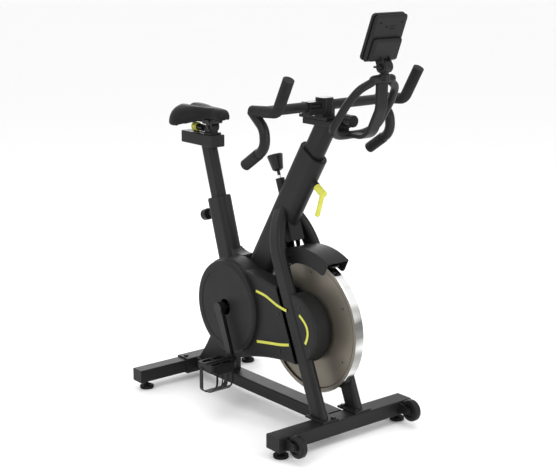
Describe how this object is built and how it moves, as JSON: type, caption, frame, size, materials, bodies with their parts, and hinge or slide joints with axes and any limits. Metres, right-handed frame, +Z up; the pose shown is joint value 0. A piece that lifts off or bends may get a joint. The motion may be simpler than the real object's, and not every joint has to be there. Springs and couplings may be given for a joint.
{
  "type": "indoor spin bike",
  "caption": "Indoor spin bike with front flywheel, covered belt drive, slanted adjustable seat and handlebar posts, drop bars with horns and a small tilting console.",
  "frame": {"origin": "on the floor under the middle of the bounding box", "axes": "+X towards the front (flywheel end), +Y to the rider's left, +Z up"},
  "size_m": [0.9892, 0.533, 1.283],
  "materials": {
    "black_steel": "satin",
    "black_plastic": "matte",
    "dark_metal": "satin",
    "belt_rubber": "matte",
    "rubber": "matte",
    "wheel_plastic": "matte",
    "bright_steel": "brushed",
    "pulley_aluminium": "satin",
    "cast_iron": "turned, polished rim",
    "brake_rod_steel": "polished",
    "lime_plastic": "satin",
    "saddle_cover": "soft, fine grain",
    "grip_rubber": "textured",
    "screen": "gloss",
    "button_grey": "satin"
  },
  "bodies": {
    "frame": {"front_stabiliser": "black_steel", "rear_stabiliser": "black_steel", "stabiliser_end_caps": "black_plastic", "lower_tube": "black_steel", "wheel_brackets": "black_steel", "seat_tube": "black_steel", "head_tube": "black_steel", "rear_upright": "black_steel", "fork_legs": "black_steel", "frame_plates": "black_steel", "brake_bracket": "black_steel", "post_bushes": "black_plastic", "bottom_bracket": "dark_metal", "drive_belt": "belt_rubber", "flywheel_axle": "dark_metal", "drive_cover_rear": "black_plastic", "drive_cover_front": "black_plastic", "left_cover": "black_plastic", "fasteners": "dark_metal", "flywheel_guard": "black_steel"},
    "foot_fl": {"foot_front_left": "rubber"},
    "foot_fr": {"foot_front_right": "rubber"},
    "foot_rl": {"foot_rear_left": "rubber"},
    "foot_rr": {"foot_rear_right": "rubber"},
    "wheel_l": {"wheel_left": "wheel_plastic"},
    "wheel_r": {"wheel_right": "wheel_plastic"},
    "crank": {"crank_spindle_and_pedal_axles": "bright_steel", "crank_arms": "black_steel", "crank_pulley": "pulley_aluminium"},
    "pedal_r": {"pedal_right": "black_plastic"},
    "pedal_l": {"pedal_left": "black_plastic"},
    "flywheel_unit": {"flywheel": "cast_iron", "flywheel_pulley": "pulley_aluminium"},
    "brake": {"brake_shoe": "dark_metal"},
    "brake_adjuster": {"brake_knob": "brake_rod_steel"},
    "seat_column": {"seat_post": "black_steel", "seat_rail": "black_steel"},
    "seat_lock": {"seat_pin": "black_plastic"},
    "carriage": {"saddle_carriage": "black_steel"},
    "carriage_knob": {"saddle_knob": "lime_plastic"},
    "saddle": {"saddle_rails": "dark_metal", "saddle_base": "black_plastic", "saddle_cushion": "saddle_cover"},
    "bar_column": {"handlebar_post": "black_steel", "handlebar_rail": "black_steel", "console_bracket": "black_steel"},
    "bar_lock": {"height_lever": "lime_plastic"},
    "slide_screw": {"handlebar_slide_knob": "black_plastic"},
    "bars": {"handlebar_slider": "black_steel", "bar_clamp": "black_plastic", "handlebar": "black_steel", "handlebar_grips": "grip_rubber"},
    "console_joint": {"console_knuckle": "black_plastic"},
    "console": {"console_back": "black_plastic", "console_front": "black_plastic", "console_screen": "screen"},
    "console_wing": {"console_screw": "black_plastic"},
    "button_l": {"console_button_left": "button_grey"},
    "button_r": {"console_button_right": "button_grey"}
  },
  "joints": [
    {"name": "foot_fl_turn", "type": "hinge", "parent": "frame", "child": "foot_fl", "pos_m": [0.30541, 0.236, 0.02], "axis": [0, 0, 1], "range_deg": [-720, 720]},
    {"name": "foot_fr_turn", "type": "hinge", "parent": "frame", "child": "foot_fr", "pos_m": [0.30541, -0.236, 0.02], "axis": [0, 0, 1], "range_deg": [-720, 720]},
    {"name": "foot_rl_turn", "type": "hinge", "parent": "frame", "child": "foot_rl", "pos_m": [-0.43259, 0.215, 0.02], "axis": [0, 0, 1], "range_deg": [-720, 720]},
    {"name": "foot_rr_turn", "type": "hinge", "parent": "frame", "child": "foot_rr", "pos_m": [-0.43259, -0.215, 0.02], "axis": [0, 0, 1], "range_deg": [-720, 720]},
    {"name": "wheel_l_spin", "type": "hinge", "parent": "frame", "child": "wheel_l", "pos_m": [0.37441, 0.229, 0.052], "axis": [0, 1, 0], "continuous": true},
    {"name": "wheel_r_spin", "type": "hinge", "parent": "frame", "child": "wheel_r", "pos_m": [0.37441, -0.229, 0.052], "axis": [0, 1, 0], "continuous": true},
    {"name": "flywheel_spin", "type": "hinge", "parent": "frame", "child": "flywheel_unit", "pos_m": [0.17441, 0, 0.328], "axis": [0, 1, 0], "continuous": true},
    {"name": "crank_spin", "type": "hinge", "parent": "frame", "child": "crank", "pos_m": [-0.13559, 0, 0.331], "axis": [0, 1, 0], "continuous": true},
    {"name": "pedal_r_spin", "type": "hinge", "parent": "crank", "child": "pedal_r", "pos_m": [-0.06971, -0.188, 0.17428], "axis": [0, 1, 0], "continuous": true},
    {"name": "pedal_l_spin", "type": "hinge", "parent": "crank", "child": "pedal_l", "pos_m": [-0.20147, 0.188, 0.48772], "axis": [0, 1, 0], "continuous": true},
    {"name": "brake_push", "type": "slide", "parent": "frame", "child": "brake", "axis": [0.3486, 0, -0.9373], "range_m": [0, 0.0055], "stiffness_N_per_m": 4000, "springref_m": -0.003},
    {"name": "brake_turn", "type": "hinge", "parent": "brake", "child": "brake_adjuster", "pos_m": [0.01181, 0, 0.7574], "axis": [0.3486, 0, -0.9373], "range_deg": [-720, 720]},
    {"name": "seat_height", "type": "slide", "parent": "frame", "child": "seat_column", "axis": [-0.3007, 0, 0.9537], "range_m": [-0.12, 0.08]},
    {"name": "seat_pin_pull", "type": "slide", "parent": "frame", "child": "seat_lock", "axis": [-0.9537, 0, -0.3007], "range_m": [0, 0.012], "stiffness_N_per_m": 800, "springref_m": -0.004},
    {"name": "saddle_slide", "type": "slide", "parent": "seat_column", "child": "carriage", "axis": [1, 0, 0], "range_m": [-0.08, 0.002]},
    {"name": "saddle_knob_turn", "type": "hinge", "parent": "carriage", "child": "carriage_knob", "pos_m": [-0.38459, 0, 0.867], "axis": [1, 0, 0], "range_deg": [-720, 720]},
    {"name": "saddle_tilt", "type": "hinge", "parent": "carriage", "child": "saddle", "pos_m": [-0.33459, 0, 0.874], "axis": [0, 1, 0], "range_deg": [-8, 8]},
    {"name": "bar_height", "type": "slide", "parent": "frame", "child": "bar_column", "axis": [0.527, 0, 0.8499], "range_m": [-0.06, 0.09]},
    {"name": "height_lever_turn", "type": "hinge", "parent": "frame", "child": "bar_lock", "pos_m": [0.12953, 0, 0.79146], "axis": [0.8499, 0, -0.527], "range_deg": [-180, 180]},
    {"name": "bar_slide", "type": "slide", "parent": "bar_column", "child": "bars", "axis": [1, 0, 0], "range_m": [-0.03, 0.02]},
    {"name": "slide_screw_turn", "type": "hinge", "parent": "bar_column", "child": "slide_screw", "pos_m": [0.31541, 0, 0.97], "axis": [1, 0, 0], "range_deg": [-720, 720]},
    {"name": "console_swivel", "type": "hinge", "parent": "bar_column", "child": "console_joint", "pos_m": [0.46441, 0, 1.1146], "axis": [0, 0, 1], "range_deg": [-30, 30]},
    {"name": "console_tilt", "type": "hinge", "parent": "console_joint", "child": "console", "pos_m": [0.46441, 0, 1.135], "axis": [0, 1, 0], "range_deg": [-20, 20]},
    {"name": "console_wing_turn", "type": "hinge", "parent": "console_joint", "child": "console_wing", "pos_m": [0.46441, -0.02, 1.135], "axis": [0, 1, 0], "range_deg": [-360, 360]},
    {"name": "button_l_press", "type": "slide", "parent": "console", "child": "button_l", "axis": [0.9304, 0, -0.3665], "range_m": [0, 0.0015], "stiffness_N_per_m": 500, "springref_m": -0.0006},
    {"name": "button_r_press", "type": "slide", "parent": "console", "child": "button_r", "axis": [0.9304, 0, -0.3665], "range_m": [0, 0.0015], "stiffness_N_per_m": 500, "springref_m": -0.0006}
  ],
  "couplings": [
    {"joint": "crank_spin", "follows": "flywheel_spin", "ratio": 0.31667}
  ]
}
